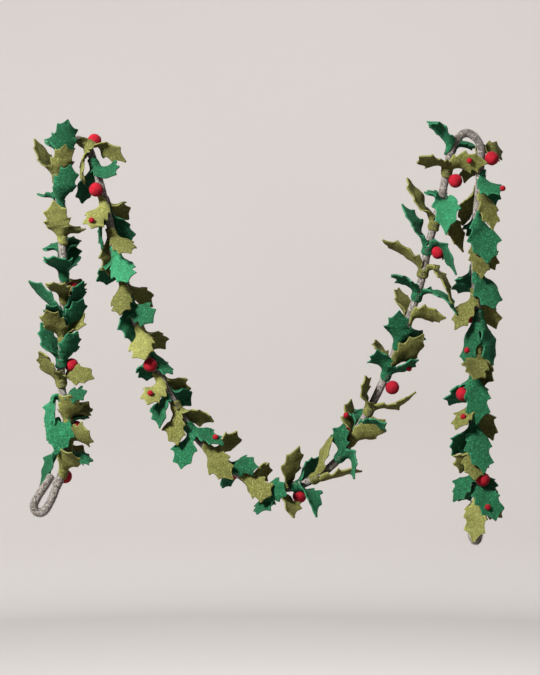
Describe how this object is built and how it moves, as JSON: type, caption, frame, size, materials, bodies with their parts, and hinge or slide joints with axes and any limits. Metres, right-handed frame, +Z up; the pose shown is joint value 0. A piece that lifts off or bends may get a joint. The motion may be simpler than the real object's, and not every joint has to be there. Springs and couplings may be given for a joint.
{
  "type": "felt holly garland",
  "caption": "Felted wool rope garland with sewn hanging loops, dressed with folded green felt holly leaves and red felt ball berries.",
  "frame": {"origin": "middle of the rope at the top of the left hold, where it goes over the hook or peg that holds it", "axes": "+X along the garland from the left hold to the right hold, +Z up, -Y towards the viewer"},
  "size_m": [0.8574, 0.1269, 0.7642],
  "materials": {
    "rope": "heathered grey-brown felted wool, matt and fuzzy",
    "emerald": "mottled emerald wool felt, matt with a soft nap",
    "olive": "mottled olive wool felt, matt with a soft nap",
    "berry": "red felted wool ball, matt and slightly fuzzy"
  },
  "bodies": {
    "root": {"rope": "rope", "end_loop_left": "rope", "end_loop_right": "rope", "leaf_pair_01": "olive", "leaf_pair_02": "emerald", "leaf_pair_03": "olive", "leaf_pair_04": "emerald", "leaf_pair_05": "olive", "leaf_pair_06": "emerald", "leaf_pair_07": "olive", "leaf_pair_08": "emerald", "leaf_pair_09": "emerald", "leaf_pair_10": "olive", "leaf_pair_11": "emerald", "leaf_pair_12": "olive", "leaf_pair_13": "emerald", "leaf_pair_14": "olive", "leaf_pair_15": "emerald", "leaf_pair_16": "olive", "leaf_pair_17": "emerald", "leaf_pair_18": "emerald", "leaf_pair_19": "olive", "leaf_pair_20": "olive", "leaf_pair_21": "olive", "leaf_pair_22": "emerald", "leaf_pair_23": "olive", "leaf_pair_24": "olive", "leaf_pair_25": "olive", "leaf_pair_26": "emerald", "leaf_pair_27": "olive", "leaf_pair_28": "olive", "leaf_pair_29": "olive", "leaf_pair_30": "emerald", "leaf_pair_31": "olive", "leaf_pair_32": "emerald", "leaf_pair_33": "emerald", "leaf_pair_34": "olive", "leaf_pair_35": "emerald", "leaf_pair_36": "olive", "leaf_pair_37": "emerald", "leaf_pair_38": "olive", "leaf_pair_39": "emerald", "leaf_pair_40": "emerald", "leaf_pair_41": "olive", "leaf_pair_42": "emerald", "leaf_pair_43": "emerald", "leaf_pair_44": "olive", "leaf_pair_45": "emerald", "leaf_pair_46": "emerald", "leaf_pair_47": "emerald", "leaf_pair_48": "olive", "leaf_pair_49": "emerald", "leaf_pair_50": "olive", "berry_01": "berry", "berry_02": "berry", "berry_03": "berry", "berry_04": "berry", "berry_05": "berry", "berry_06": "berry", "berry_07": "berry"}
  },
  "joints": []
}
